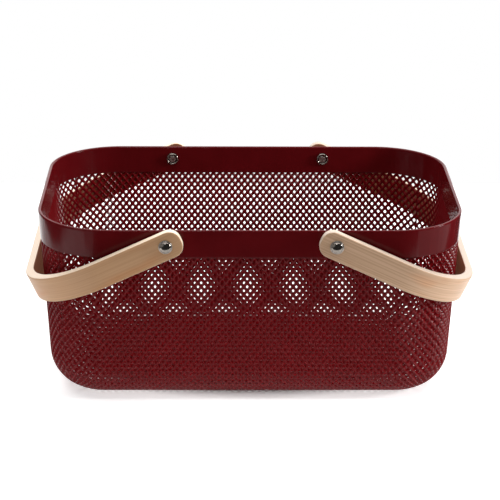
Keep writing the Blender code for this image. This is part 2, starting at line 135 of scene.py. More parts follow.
def stretched(place, run, seam, along_size):
    """Travel of a place on the blank, whose diamonds widen towards the corner's seam."""
    at_seam = seam_travel(run, along_size)
    corner_reach = floor_half(along_size) - wall_half(along_size, 0.0) + corner_round(0.0)
    blank_seam = np.minimum(seam, at_seam + corner_reach * (1 - math.pi / 4))
    zone = corner_reach + (stretched_zone - corner_reach) * np.clip(run / foot_run, 0.0, 1.0)
    share = np.maximum((np.abs(place) - blank_seam) / zone + 1, 0.0)
    step = at_seam - blank_seam
    growth = np.where(share < 1, step * share ** 2, step * (2 * share - 1))
    return np.sign(place) * (np.abs(place) + growth)


def blank_run(place, floor_edge):
    """Run up the wall of a place on the blank, which stretches a little above the foot."""
    run = np.abs(place) - floor_edge
    return np.minimum(run, foot_run) + np.maximum(run - foot_run, 0.0) * wall_stretch


def draw_long_wall(x, y, lift):
    """Place on the front or back wall of a place on the flat sheet."""
    run = blank_run(y, floor_half(rim_width))
    travel = stretched(x, run, long_seam, rim_length)
    along, across, height = on_ring(travel, run, lift, rim_length, rim_width)
    return along, np.sign(y) * across, height


def draw_end_wall(x, y, lift):
    """Place on an end wall of a place on its flat panel, whose columns of diamonds lean a little."""
    run = blank_run(x, floor_half(rim_length))
    height = profile(run)[0]
    leaning = y / (1 + end_lean * (height - end_lean_height))
    travel = stretched(leaning, run, end_seam, rim_width)
    along, across, height = on_ring(travel, run, lift, rim_width, rim_length)
    return np.sign(x) * across, along, height


def draw_floor(x, y, lift):
    """The flat floor, with its square corners gathered onto the rounded ones."""
    start_x = wall_half(rim_length, 0.0) - corner_round(0.0)
    start_y = wall_half(rim_width, 0.0) - corner_round(0.0)
    over_x = np.maximum(np.abs(x) - start_x, 0.0)
    over_y = np.maximum(np.abs(y) - start_y, 0.0)
    longer = np.maximum(over_x, over_y)
    share = np.minimum(over_x, over_y) / np.maximum(longer, least_length)
    turn = share - (1 - math.pi / 4) * share ** 2
    near = longer * np.cos(turn)
    side = longer * np.sin(turn)
    along = np.minimum(np.abs(x), start_x) + np.where(over_x >= over_y, near, side)
    across = np.minimum(np.abs(y), start_y) + np.where(over_x >= over_y, side, near)
    return np.sign(x) * along, np.sign(y) * across, sheet_rise - lift


def finished(name, mesh_data):
    """New piece from a bmesh, smooth but for its sharp edges."""
    mesh = bpy.data.meshes.new(name)
    mesh_data.to_mesh(mesh)
    mesh_data.free()
    mesh.shade_smooth()
    mesh.set_sharp_from_angle(angle=sharp_turn)
    piece = bpy.data.objects.new(name, mesh)
    bpy.context.scene.collection.objects.link(piece)
    return piece


def with_modifiers(piece):
    """Mesh of a piece with its modifiers carried out, as a new bmesh; the piece goes."""
    evaluated = piece.evaluated_get(bpy.context.evaluated_depsgraph_get())
    result = bmesh.new()
    result.from_mesh(evaluated.to_mesh())
    bpy.data.objects.remove(piece, do_unlink=True)
    return result


def all_of(shape):
    """Every vertex, edge and face of a shape."""
    return shape.verts[:] + shape.edges[:] + shape.faces[:]


def trim(shape, point, outward):
    """Cut a closed shape at a plane and close the cut."""
    cut = bmesh.ops.bisect_plane(
        shape,
        geom=all_of(shape),
        dist=cut_reach,
        plane_co=point,
        plane_no=outward,
        clear_outer=True,
    )
    edges = [item for item in cut["geom_cut"] if isinstance(item, bmesh.types.BMEdge)]
    bmesh.ops.edgeloop_fill(shape, edges=edges)


def net_blank(low, high, shift, seam):
    """Flat net over a rectangle: a grid turned to diamonds, each opened, with round strands."""
    middle_x = round((low[0] + high[0]) / diamond_width) * diamond_width / 2
    middle_y = round((low[1] + high[1]) / diamond_height) * diamond_height / 2
    rows = (high[0] - low[0]) / diamond_width + (high[1] - low[1]) / diamond_height
    count = 2 * math.ceil(rows / 2) + spare_diamonds
    shape = bmesh.new()
    bmesh.ops.create_grid(shape, x_segments=count, y_segments=count, size=count / 2)
    for vert in shape.verts:
        across = (vert.co.x + vert.co.y) * diamond_width / 2
        up = (vert.co.y - vert.co.x) * diamond_height / 2
        vert.co = (middle_x + across + shift[0], middle_y + up + shift[1], strand_cage_lift)
    outside = []
    for face in shape.faces:
        centre = face.calc_center_median()
        clear_x = low[0] - diamond_width < centre.x < high[0] + diamond_width
        clear_y = low[1] - diamond_height < centre.y < high[1] + diamond_height
        if not (clear_x and clear_y):
            outside.append(face)
    bmesh.ops.delete(shape, geom=outside, context="FACES")
    openings = shape.faces[:]
    groups = {}
    for face in openings:
        share = max((abs(face.calc_center_median().x) - seam) / stretched_zone + 1, 0.0)
        groups.setdefault(round(share * thinning_steps), []).append(face)
    for step, group in groups.items():
        half = strand_cage_half * (1 - thinner_at_seam * step / thinning_steps)
        bmesh.ops.inset_individual(shape, faces=group, thickness=half, use_even_offset=True)
    ridges = shape.edges.layers.float.new("crease_edge")
    for edge in shape.edges:
        if edge.verts[0].co.z > strand_cage_lift / 2 and edge.verts[1].co.z > strand_cage_lift / 2:
            edge[ridges] = ridge_crease
    crisp = shape.verts.layers.float.new("crease_vert")
    for vert in {vert for face in openings for vert in face.verts}:
        vert.co.z = 0.0
        vert[crisp] = 1.0
    bmesh.ops.delete(shape, geom=openings, context="FACES")
    bmesh.ops.mirror(shape, geom=all_of(shape), matrix=Matrix(), merge_dist=merge_reach, axis="Z")
    bmesh.ops.recalc_face_normals(shape, faces=shape.faces)
    blank = finished("net_blank", shape)
    rounding = blank.modifiers.new("round strands", "SUBSURF")
    rounding.levels = 1
    rounding.render_levels = 1
    net = with_modifiers(blank)
    trim(net, (low[0], 0, 0), (-1, 0, 0))
    trim(net, (high[0], 0, 0), (1, 0, 0))
    trim(net, (0, low[1], 0), (0, -1, 0))
    trim(net, (0, high[1], 0), (0, 1, 0))
    return net


def drawn_net(name, blank, draw, seam_cuts):
    """The net's blank drawn onto the box, and cut at the corners' seams."""
    places = np.array([vert.co for vert in blank.verts])
    x = places[:, 0] + sheet_skew * places[:, 1]
    drawn = np.stack(draw(x, places[:, 1], places[:, 2]), axis=1)
    for vert, place in zip(blank.verts, drawn):
        vert.co = place
    for point, outward in seam_cuts:
        trim(blank, point, outward)
    bmesh.ops.recalc_face_normals(blank, faces=blank.faces)
    return finished(name, blank)


noise_low = 0.3
noise_high = 0.7
rough_detail = 3.0
soft_detail = 2.0
unscaled = 1.0
coat_specular = 0.13
coat_blotch_scale = 45.0
coat_gloss_scale = 160.0
peel_scale = 1400.0
peel_strength = 0.15
peel_depth = 0.00002
net_tones = ((0.126, 0.0016, 0.0032), (0.151, 0.0022, 0.0044))
net_gloss = (0.19, 0.23)
net_waves = (90.0, 90.0, 90.0)
net_wave_depth = 0.00006


def wired(tree, kind, inputs):
    """New shader node, its inputs set to values or linked to other nodes' outputs."""
    made = tree.nodes.new(kind)
    for socket, value in inputs.items():
        if isinstance(value, bpy.types.NodeSocket):
            tree.links.new(value, made.inputs[socket])
        else:
            made.inputs[socket].default_value = value
    return made


def noise(tree, place, scale, detail):
    """Amount of a procedural noise at a place."""
    inputs = {"Vector": place, "Scale": scale, "Detail": detail}
    return wired(tree, "ShaderNodeTexNoise", inputs).outputs["Fac"]


def ramp(tree, amount, low, high):
    """Colour that runs from one to another, each given with the amount it belongs to."""
    made = wired(tree, "ShaderNodeValToRGB", {"Fac": amount})
    for end, (position, colour) in zip(made.color_ramp.elements, (low, high)):
        end.position = position
        end.color = (*colour, 1)
    return made.outputs["Color"]


def mapped(tree, amount, low, high):
    """Amount of a noise, moved to the range between two values."""
    inputs = {
        "Value": amount,
        "From Min": noise_low,
        "From Max": noise_high,
        "To Min": low,
        "To Max": high,
    }
    return wired(tree, "ShaderNodeMapRange", inputs).outputs["Result"]


def stretched_place(tree, place, scale):
    """Place scaled by its own factor along each axis, for a grain or streaks."""
    return wired(tree, "ShaderNodeMapping", {"Vector": place, "Scale": scale}).outputs["Vector"]


def new_material(name, inputs):
    """Material with its own shader tree, and the fixed inputs of its Principled shader set."""
    material = bpy.data.materials.new(name)
    material.use_nodes = True
    shader = material.node_tree.nodes["Principled BSDF"]
    for socket, value in inputs.items():
        shader.inputs[socket].default_value = value
    return material, material.node_tree, shader


def maroon_coat(name, dark, light, gloss, wave_scale, wave_depth):
    """Glossy plastic coat: faint blotches of colour and gloss, orange peel, and soft waves."""
    material, tree, shader = new_material(name, {"Specular IOR Level": coat_specular})
    place = tree.nodes.new("ShaderNodeTexCoord").outputs["Object"]
    blotches = noise(tree, place, coat_blotch_scale, rough_detail)
    colour = ramp(tree, blotches, (noise_low, dark), (noise_high, light))
    tree.links.new(colour, shader.inputs["Base Color"])
    roughness = mapped(tree, noise(tree, place, coat_gloss_scale, soft_detail), *gloss)
    tree.links.new(roughness, shader.inputs["Roughness"])
    peel = wired(tree, "ShaderNodeBump", {
        "Strength": peel_strength,
        "Distance": peel_depth,
        "Height": noise(tree, place, peel_scale, soft_detail),
    })
    waves = wired(tree, "ShaderNodeBump", {
        "Strength": 1.0,
        "Distance": wave_depth,
        "Height": noise(tree, stretched_place(tree, place, wave_scale), unscaled, soft_detail),
        "Normal": peel.outputs["Normal"],
    })
    tree.links.new(waves.outputs["Normal"], shader.inputs["Normal"])
    return material


seam_line_x = (rim_length - rim_width) / 2
slot_bottom = rim_top - band_height + top_in_slot
straight_rise = slot_bottom - foot_centre_height + foot_bend * math.cos(steepest)
wall_top = foot_run + straight_rise / math.cos(wall_draft)
long_top = floor_half(rim_width) + foot_run + (wall_top - foot_run) / wall_stretch
end_top = floor_half(rim_length) + foot_run + (wall_top - foot_run) / wall_stretch
net_pieces = []
for (face_name, face), shift in zip(faces, (front_shift, back_shift)):
    edges = sorted((face * floor_half(rim_width), face * long_top))
    long_blank = net_blank(
        (-long_seam - seam_spare, edges[0]),
        (long_seam + seam_spare, edges[1]),
        shift,
        long_seam,
    )
    cuts = [((side * seam_line_x, 0, 0), (side, -face, 0)) for side_name, side in sides]
    net_pieces.append(drawn_net(face_name + "_net", long_blank, draw_long_wall, cuts))
for side_name, side in sides:
    edges = sorted((side * floor_half(rim_length), side * end_top))
    end_blank = net_blank(
        (-end_seam - seam_spare, edges[0]),
        (end_seam + seam_spare, edges[1]),
        (diamond_width / 2, 0.0),
        end_seam,
    )
    bmesh.ops.rotate(end_blank, verts=end_blank.verts, matrix=Matrix.Rotation(math.pi / 2, 3, "Z"))
    bmesh.ops.scale(end_blank, verts=end_blank.verts, vec=(-1, 1, 1))
    cuts = [((side * seam_line_x, 0, 0), (-side, face, 0)) for face_name, face in faces]
    net_pieces.append(drawn_net(side_name + "_net", end_blank, draw_end_wall, cuts))
floor_blank = net_blank(
    (-floor_half(rim_length), -floor_half(rim_width)),
    (floor_half(rim_length), floor_half(rim_width)),
    back_shift,
    math.inf,
)
net_pieces.append(drawn_net("floor_net", floor_blank, draw_floor, []))

coat = maroon_coat("maroon_coat", *net_tones, net_gloss, net_waves, net_wave_depth)
for piece in net_pieces:
    piece.data.materials.append(coat)
    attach(piece, "basket")
    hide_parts("mesh_body")


# The corner seams: where each end panel meets the long sheet it is welded edge to edge,
# and the weld's bar is coated with the rest. It runs from under the band into the foot.
seam_width = 0.0015
seam_thickness = 0.0013
seam_round = 0.0004
seam_round_steps = 2
seam_start = 0.006
seam_steps = 70


def rounded(shape, edges, radius, steps):
    """Round some edges of a shape."""
    bmesh.ops.bevel(
        shape,
        geom=edges,
        offset=radius,
        segments=steps,
        profile=0.5,
        affect="EDGES",
        material=-1,
    )


def seam_bar(side, face):
    """Slender bar drawn down one corner's seam, from a box bent onto the sheet."""
    shape = bmesh.new()
    length = wall_top - seam_start
    bmesh.ops.create_cube(shape, size=1.0)
    bmesh.ops.scale(shape, verts=shape.verts, vec=(seam_width, length, seam_thickness))
    bmesh.ops.translate(shape, verts=shape.verts, vec=(0, seam_start + length / 2, 0))
    long_edges = [edge for edge in shape.edges if edge.calc_length() > length / 2]
    rounded(shape, long_edges, seam_round, seam_round_steps)
    long_edges = [edge for edge in shape.edges if edge.calc_length() > length / 2]
    bmesh.ops.subdivide_edges(shape, edges=long_edges, cuts=seam_steps, use_grid_fill=True)
    places = np.array([vert.co for vert in shape.verts])
    travel = places[:, 0] + seam_travel(places[:, 1], rim_length)
    drawn = on_ring(travel, places[:, 1], places[:, 2], rim_length, rim_width)
    for vert, x, y, z in zip(shape.verts, *drawn):
        vert.co = (side * x, face * y, z)
    bmesh.ops.recalc_face_normals(shape, faces=shape.faces)
    return shape


for face_name, face in faces:
    for side_name, side in sides:
        seam = finished(face_name + "_" + side_name + "_seam", seam_bar(side, face))
        seam.data.materials.append(coat)
        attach(seam, "basket")
        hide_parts("mesh_body")


# The rim band: a strip of smooth sheet folded over the net's top edge, so that it has an
# outer and an inner leaf with a round fold between, coated in the same maroon.
band_leaf = 0.0006
band_thickness = 0.0028
band_support = 0.0008
fold_steps = 12
lip_steps = 4
long_steps = 30
corner_steps = 36
end_steps = 12
band_tones = ((0.092, 0.0034, 0.0048), (0.106, 0.0040, 0.0058))
band_gloss = (0.10, 0.13)
band_streaks = (130.0, 130.0, 3.0)
band_streak_depth = 0.0003


def half_round(low_depth, high_depth, base_drop, bulge, steps):
    """Points of a half round between two depths; the bulge's sign says which way it points."""
    middle = (low_depth + high_depth) / 2
    radius = (high_depth - low_depth) / 2
    points = []
    for step in range(steps + 1):
        turn = math.pi * step / steps
        drop = base_drop + bulge * abs(radius) * math.sin(turn)
        points.append((middle - radius * math.cos(turn), drop))
    return points


def band_section():
    """Closed outline of the folded strip, as depth from its outer face and drop below the rim."""
    fold = band_thickness / 2
    lip = band_leaf / 2
    inner = band_thickness - band_leaf
    slot = fold - band_leaf
    outline = half_round(0.0, band_thickness, fold, -1, fold_steps)
    outline.append((band_thickness, fold + band_support))
    outline.append((band_thickness, band_height - lip - band_support))
    outline += half_round(band_thickness, inner, band_height - lip, 1, lip_steps)
    outline.append((inner, fold + band_support))
    outline += half_round(inner, band_leaf, band_leaf + slot, -1, fold_steps // 2)
    outline.append((band_leaf, band_height - lip - band_support))
    outline += half_round(band_leaf, 0.0, band_height - lip, 1, lip_steps)
    outline.append((0.0, band_height - lip - band_support))
    outline.append((0.0, fold + band_support))
    outline.append(outline[0])
    return outline


def quarter_place(step, depth, drop):
    """Place on the back right quarter of the band, from the back's middle to the end's."""
    height = rim_top - drop
    reach = corner_round(height) - depth
    start_x = wall_half(rim_length, height) - corner_round(height)
    start_y = wall_half(rim_width, height) - corner_round(height)
    turn = (step - long_steps) / corner_steps * math.pi / 2
    if step <= long_steps:
        return start_x * step / long_steps, start_y + reach, height
    if step <= long_steps + corner_steps:
        return start_x + reach * math.sin(turn), start_y + reach * math.cos(turn), height
    left = long_steps + corner_steps + end_steps - step
    return start_x + reach, start_y * left / end_steps, height


def folded_band():
    """The strip's outline carried round one quarter on a grid, and mirrored to the others."""
    shape = bmesh.new()
    outline = band_section()
    count = long_steps + corner_steps + end_steps
    bmesh.ops.create_grid(shape, x_segments=count, y_segments=len(outline) - 1, size=1.0)
    for vert in shape.verts:
        step = round((vert.co.x + 1) / 2 * count)
        depth, drop = outline[round((vert.co.y + 1) / 2 * (len(outline) - 1))]
        vert.co = quarter_place(step, depth, drop)
    for axis in ("X", "Y"):
        bmesh.ops.mirror(
            shape,
            geom=all_of(shape),
            matrix=Matrix(),
            merge_dist=merge_reach,
            axis=axis,
        )
    bmesh.ops.remove_doubles(shape, verts=shape.verts, dist=merge_reach)
    bmesh.ops.recalc_face_normals(shape, faces=shape.faces)
    return shape


band_coat = maroon_coat("maroon_band_coat", *band_tones, band_gloss, band_streaks, band_streak_depth)
band = finished("folded_band", folded_band())
band.data.materials.append(band_coat)
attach(band, "basket")
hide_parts("rim_band")


# The cup washers and screws inside the band: a plated ring with a raised round lip lies
# on the inner leaf at each pivot, and a cross-recess screw sits in it, into the nut's barrel.
pivot_x = 0.0712
pivot_rise = 0.0012
pivot_height = rim_top - band_height / 2 + pivot_rise
band_face_y = wall_half(rim_width, pivot_height)
cup_radius = 0.0056
cup_lip = 0.0017
cup_lip_steps = 8
cup_chamfer = 0.0003
cup_base = 0.001
cup_seat = 0.00403
cup_height = 0.0019
cup_bore = 0.0017
cup_gap = 0.0002
round_steps = 48
plating_blotch_scale = 700.0
plating_gloss_scale = 1100.0
chrome_tones = ((0.20, 0.18, 0.16), (0.30, 0.27, 0.24))
chrome_gloss = (0.08, 0.14)
zinc_tones = ((0.34, 0.31, 0.28), (0.48, 0.45, 0.42))
zinc_gloss = (0.24, 0.38)


def turned(outline):
    """Round piece about the Y axis from an outline of (radius, place along Y) points."""
    shape = bmesh.new()
    points = [shape.verts.new((radius, along, 0)) for radius, along in outline]
    edges = [shape.edges.new(pair) for pair in zip(points, points[1:])]
    bmesh.ops.spin(
        shape,
        geom=points + edges,
        cent=(0, 0, 0),
        axis=(0, 1, 0),
        angle=2 * math.pi,
        steps=round_steps,
        use_merge=True,
    )
    bmesh.ops.remove_doubles(shape, verts=shape.verts, dist=merge_reach)
    bmesh.ops.recalc_face_normals(shape, faces=shape.faces)
    return shape


def at_pivot(shape, side, face):
    """Set a turned piece at one pivot; its -Y end faces away from the basket."""
    if face > 0:
        bmesh.ops.rotate(shape, verts=shape.verts, matrix=Matrix.Rotation(math.pi, 3, "Z"))
    pivot = (side * pivot_x, face * band_face_y, pivot_height)
    bmesh.ops.translate(shape, verts=shape.verts, vec=pivot)


def cup_ring():
    """Ring with a raised round lip, its back cut to the slope of the inner leaf."""
    lip_middle = cup_radius - cup_lip / 2
    lip_start = cup_seat + cup_height - cup_lip / 2
    outline = [(cup_bore, cup_base), (cup_radius, cup_base)]
    for step in range(cup_lip_steps + 1):
        turn = math.pi * step / cup_lip_steps
        radius = lip_middle + cup_lip / 2 * math.cos(turn)
        outline.append((radius, lip_start + cup_lip / 2 * math.sin(turn)))
    outline.append((cup_radius - cup_lip, cup_seat + cup_chamfer))
    outline.append((cup_radius - cup_lip - cup_chamfer, cup_seat))
    outline.append((cup_bore, cup_seat))
    outline.append((cup_bore, cup_base))
    shape = turned(outline)
    leaf = band_thickness + cup_gap
    trim(shape, (0, leaf, 0), (0, -math.cos(wall_draft), -math.sin(wall_draft)))
    bmesh.ops.recalc_face_normals(shape, faces=shape.faces)
    return shape


def plating(name, dark, light, gloss):
    """Plated metal, a little uneven in tone and gloss."""
    material, tree, shader = new_material(name, {"Metallic": 1.0})
    place = tree.nodes.new("ShaderNodeTexCoord").outputs["Object"]
    blotches = noise(tree, place, plating_blotch_scale, rough_detail)
    colour = ramp(tree, blotches, (noise_low, dark), (noise_high, light))
    tree.links.new(colour, shader.inputs["Base Color"])
    roughness = mapped(tree, noise(tree, place, plating_gloss_scale, soft_detail), *gloss)
    tree.links.new(roughness, shader.inputs["Roughness"])
    return material


chrome = plating("bright_plating", *chrome_tones, chrome_gloss)
zinc = plating("zinc_plating", *zinc_tones, zinc_gloss)

for face_name, face in faces:
    for side_name, side in sides:
        place = face_name + "_" + side_name
        shape = cup_ring()
        at_pivot(shape, side, face)
        cup = finished(place + "_cup", shape)
        cup.data.materials.append(chrome)
        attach(cup, "basket")
        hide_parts(place + "_cup_washer")
        screw = bpy.data.objects[place + "_screw"]
        for slot in screw.material_slots:
            slot.material = zinc


# The spacers: turned zinc-plated rings, a little tapered, that fill the gap between the
# upright strap and the sloping band. The nut's barrel passes through each.
for face_name, face in faces:
    for side_name, side in sides:
        spacer = bpy.data.objects[face_name + "_" + side_name + "_spacer"]
        for slot in spacer.material_slots:
            slot.material = zinc


# The straps: birch ply planks with sanded edges and rounded tails, steamed and bent into
# a U, clear lacquered. Each turns on its two pivots and rests against the end wall.
strap_width = 0.0232
strap_thickness = 0.0078
strap_edge_round = 0.0011
strap_edge_steps = 4
strap_tail = 0.0144
tail_corner = 0.010
tail_steps = 9
strap_overhang = 0.0191
strap_reach = rim_length / 2 - pivot_x + strap_overhang
strap_bend_step = 0.0063
strap_bend = rim_round + strap_bend_step
spacer_gap = 0.0025
strap_outer_y = band_face_y + spacer_gap + strap_thickness
strap_rest = math.radians(24.826)
plank_step = 0.004
face_margin = 0.0004
nearly_flat = 0.999
washer_seat = 0.0006
washer_radius = 0.0057
barrel_radius = 0.0025
running_gap = 0.0003
bore_draft = 0.00001
bend_x = strap_reach - strap_bend
half_middle = strap_outer_y - strap_bend
arc_length = strap_bend * math.pi / 2
pivot_run = half_middle + arc_length + bend_x
half_length = pivot_run + strap_tail


def flat_plank():
    """The plank before bending: X along it, Y across, and its outer face up at Z 0."""
    shape = bmesh.new()
    bmesh.ops.create_cube(shape, size=1.0)
    bmesh.ops.scale(shape, verts=shape.verts, vec=(2 * half_length, strap_width, strap_thickness))
    bmesh.ops.translate(shape, verts=shape.verts, vec=(0, 0, -strap_thickness / 2))
    corners = [edge for edge in shape.edges if edge.calc_length() < strap_width / 2]
    rounded(shape, corners, tail_corner, tail_steps)
    rims = [edge for edge in shape.edges if edge.calc_face_angle(0.0) > sharp_turn]
    rounded(shape, rims, strap_edge_round, strap_edge_steps)
    broad = [face for face in shape.faces if abs(face.normal.z) > nearly_flat]
    bmesh.ops.inset_individual(shape, faces=broad, thickness=face_margin, use_even_offset=True)
    bend_end = half_middle + arc_length
    cuts = round(2 * bend_end / plank_step)
    for step in range(cuts + 1):
        bmesh.ops.bisect_plane(
            shape,
            geom=all_of(shape),
            dist=cut_reach,
            plane_co=(bend_end * (2 * step / cuts - 1), 0, 0),
            plane_no=(1, 0, 0),
        )
    return shape


def seat_cutter():
    """Stepped cutter at each pivot, for the washer's seat and the bore that the barrel turns in."""
    shape = bmesh.new()
    for end in (-1, 1):
        bmesh.ops.create_cone(
            shape,
            cap_ends=True,
            segments=round_steps,
            radius1=washer_radius + running_gap,
            radius2=washer_radius + running_gap,
            depth=2 * washer_seat,
            matrix=Matrix.Translation((end * pivot_run, 0, 0)),
        )
    floors = [face for face in shape.faces if face.normal.z < -nearly_flat]
    bmesh.ops.inset_individual(shape, faces=floors, thickness=washer_radius - barrel_radius)
    bmesh.ops.inset_individual(shape, faces=floors, thickness=bore_draft, depth=strap_thickness)
    return shape


def bend_plank(shape):
    """Bend the flat plank to the strap's U about the basket's end, pivots on the Y axis."""
    for vert in shape.verts:
        run, width, depth = vert.co
        distance = abs(run)
        end = 1 if run > 0 else -1
        beyond = distance - half_middle
        turn = min(max(beyond / strap_bend, 0.0), math.pi / 2)
        reach = strap_bend + depth
        x = bend_x + reach * math.cos(turn) - max(beyond - arc_length, 0.0)
        y = min(distance, half_middle) + reach * math.sin(turn)
        vert.co = (x, end * y, width)


def bent_strap(name, side):
    """One strap: seats and bores cut in the flat plank, which is mapped, bent and set at rest."""
    plank = finished("plank", flat_plank())
    cutter = finished("seat_cutter", seat_cutter())
    seats = plank.modifiers.new("washer seats", "BOOLEAN")
    seats.object = cutter
    shape = with_modifiers(plank)
    bpy.data.objects.remove(cutter, do_unlink=True)
    along = shape.loops.layers.uv.new("plank")
    through = shape.loops.layers.uv.new("plies")
    for face in shape.faces:
        for loop in face.loops:
            run, width, depth = loop.vert.co
            loop[along].uv = (run, width + depth)
            loop[through].uv = (run, depth)
    bend_plank(shape)
    bmesh.ops.rotate(shape, verts=shape.verts, matrix=Matrix.Rotation(strap_rest, 3, "Y"))
    bmesh.ops.translate(shape, verts=shape.verts, vec=(pivot_x, 0, pivot_height))
    if side < 0:
        bmesh.ops.rotate(shape, verts=shape.verts, matrix=Matrix.Rotation(math.pi, 3, "Z"))
    bmesh.ops.recalc_face_normals(shape, faces=shape.faces)
    return finished(name, shape)


birch_specular = 0.25
grain_scale = (7.0, 900.0, 1.0)
grain_low = 0.30
grain_high = 0.66
grain_gloss = (0.34, 0.46)
grain_strength = 0.3
grain_depth = 0.00006
warm_scale = (16.0, 50.0, 1.0)
warm_low = 0.56
warm_high = 0.78
no_tint = (1.0, 1.0, 1.0)
warm_tint = (1.0, 0.80, 0.64)
face_skin = 0.0004
# The strap's inner face, towards the basket, is painted dark brown: painted shade standing in for the
# shade the basket casts on it.
inner_face_painted_shade = (0.33, 0.14, 0.075)
ply_thickness = 0.0013
glue_share = 0.07
glue_tone = (0.78, 0.60, 0.42)
# Each strap has its own copy of the birch, with tones set apart for how the lamps fall on it: painted
# light and shade. The right strap's light end is paler, as painted light from the bright lamp on that
# side, and its sanded edge is painted darker against that lamp. The left edge's pale tone is partly real
# end grain and partly a painted highlight.
left_tones_painted_light = ((0.505, 0.285, 0.148), (0.575, 0.342, 0.19))
left_sanded_grain_and_highlight = (0.88, 0.71, 0.55)
right_tones_painted_light = ((0.47, 0.288, 0.171), (0.66, 0.44, 0.292))
right_sanded_grain_and_shade = (0.56, 0.45, 0.37)


def worked_out(tree, operation, first, second):
    """Result of a reckoning with two amounts."""
    made = wired(tree, "ShaderNodeMath", {0: first, 1: second})
    made.operation = operation
    return made.outputs["Value"]


def mixed(tree, amount, first, second):
    """Colour between a first and a second one, by an amount."""
    made = wired(tree, "ShaderNodeMixRGB", {"Fac": amount, "Color1": first, "Color2": second})
    return made.outputs["Color"]


def on_plank(tree, layer):
    """Place on the flat plank, from one of its two maps."""
    made = wired(tree, "ShaderNodeUVMap", {})
    made.uv_map = layer
    return made.outputs["UV"]


def lacquered_birch(name, dark, light, end_grain_and_painted_light):
    """Birch with long fine grain and warm blotches, and thin glue lines; the sanded edges' tone is partly
    pale end grain and partly painted light and shade, and the inner face is painted darker as painted
    shade.
    """
    material, tree, shader = new_material(name, {"Specular IOR Level": birch_specular})
    plank = on_plank(tree, "plank")
    grain = noise(tree, stretched_place(tree, plank, grain_scale), unscaled, rough_detail)
    blotches = noise(tree, stretched_place(tree, plank, warm_scale), unscaled, soft_detail)
    tone = ramp(tree, grain, (grain_low, dark), (grain_high, light))
    warm = ramp(tree, blotches, (warm_low, no_tint), (warm_high, warm_tint))
    toned = wired(tree, "ShaderNodeMixRGB", {"Fac": 1.0, "Color1": tone, "Color2": warm})
    toned.blend_type = "MULTIPLY"
    plies = wired(tree, "ShaderNodeSeparateXYZ", {"Vector": on_plank(tree, "plies")})
    depth = plies.outputs["Y"]
    from_middle = worked_out(tree, "ADD", depth, strap_thickness / 2)
    off_centre = wired(tree, "ShaderNodeMath", {0: from_middle})
    off_centre.operation = "ABSOLUTE"
    core_half = strap_thickness / 2 - face_skin
    on_edge = worked_out(tree, "LESS_THAN", off_centre.outputs["Value"], core_half)
    # Sanded edges take the sanded tone: partly real pale end grain, partly painted light and shade.
    sanded = mixed(tree, on_edge, toned.outputs["Color"], (*end_grain_and_painted_light, 1))
    # The inner face takes the dark inner tone: painted shade, not a different wood.
    inside = worked_out(tree, "LESS_THAN", depth, face_skin - strap_thickness)
    shaded = mixed(tree, inside, sanded, (*inner_face_painted_shade, 1))
    layer = worked_out(tree, "DIVIDE", depth, ply_thickness)
    part = wired(tree, "ShaderNodeMath", {0: layer})
    part.operation = "FRACT"
    from_glue = wired(tree, "ShaderNodeMath", {0: part.outputs["Value"], 1: 0.5, 2: glue_share})
    from_glue.operation = "COMPARE"
    glued = mixed(tree, from_glue.outputs["Value"], shaded, (*glue_tone, 1))
    tree.links.new(glued, shader.inputs["Base Color"])
    tree.links.new(mapped(tree, grain, *grain_gloss), shader.inputs["Roughness"])
    relief = wired(tree, "ShaderNodeBump", {
        "Strength": grain_strength,
        "Distance": grain_depth,
        "Height": grain,
    })
    tree.links.new(relief.outputs["Normal"], shader.inputs["Normal"])
    return material


# Two copies of one birch, one for each strap, with painted light and shade in their tones.
left_birch_painted_light = lacquered_birch("left_birch_painted_light", *left_tones_painted_light, left_sanded_grain_and_highlight)
right_birch_painted_light = lacquered_birch("right_birch_painted_light", *right_tones_painted_light, right_sanded_grain_and_shade)
for (side_name, side), birch in zip(sides, (left_birch_painted_light, right_birch_painted_light)):
    strap = bent_strap(side_name + "_strap", side)
    strap.data.materials.append(birch)
    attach(strap, side_name + "_handle")
    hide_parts(side_name + "_handle")


# The outer washers and domed nuts: a flat zinc washer lies in its seat in the wood, and a
# bright domed nut holds it, with its barrel through the strap as the pin it turns on.
washer_base = strap_outer_y - band_face_y - washer_seat + running_gap
washer_thickness = 0.0008
washer_round = 0.00015
washer_bore = 0.0028
dome_radius = 0.0049
dome_height = 0.0026
dome_edge = 0.0005
dome_steps = 14
dome_gap = 0.0002
dome_chamfer = 0.0001
thread_bore = 0.0017


def washer_ring():
    """Flat ring with its outer edge a little rounded."""
    top = washer_base + washer_thickness
    return turned([
        (washer_bore, -washer_base),
        (washer_radius, -washer_base),
        (washer_radius, -top + washer_round),
        (washer_radius - washer_round, -top),
        (washer_bore, -top),
        (washer_bore, -washer_base),
    ])


def domed_cap():
    """Domed head with a hollow barrel below it, open towards the band."""
    base = washer_base + washer_thickness + dome_gap
    rise = dome_height - dome_edge
    outline = []
    for step in range(dome_steps + 1):
        turn = math.pi / 2 * step / dome_steps
        height = base + dome_edge + rise * math.cos(turn)
        outline.append((dome_radius * math.sin(turn), -height))
    outline.append((dome_radius, -base - dome_chamfer))
    outline.append((dome_radius - dome_chamfer, -base))
    outline.append((barrel_radius, -base))
    outline.append((barrel_radius, -running_gap))
    outline.append((thread_bore, -running_gap))
    outline.append((thread_bore, -base))
    outline.append((0.0, -base))
    return turned(outline)


for face_name, face in faces:
    for side_name, side in sides:
        place = face_name + "_" + side_name
        shape = washer_ring()
        at_pivot(shape, side, face)
        washer = finished(place + "_flat_washer", shape)
        washer.data.materials.append(zinc)
        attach(washer, "basket")
        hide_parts(place + "_outer_washer")
        shape = domed_cap()
        at_pivot(shape, side, face)
        nut = finished(place + "_dome", shape)
        nut.data.materials.append(chrome)
        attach(nut, "basket")
        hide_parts(place + "_dome_nut")


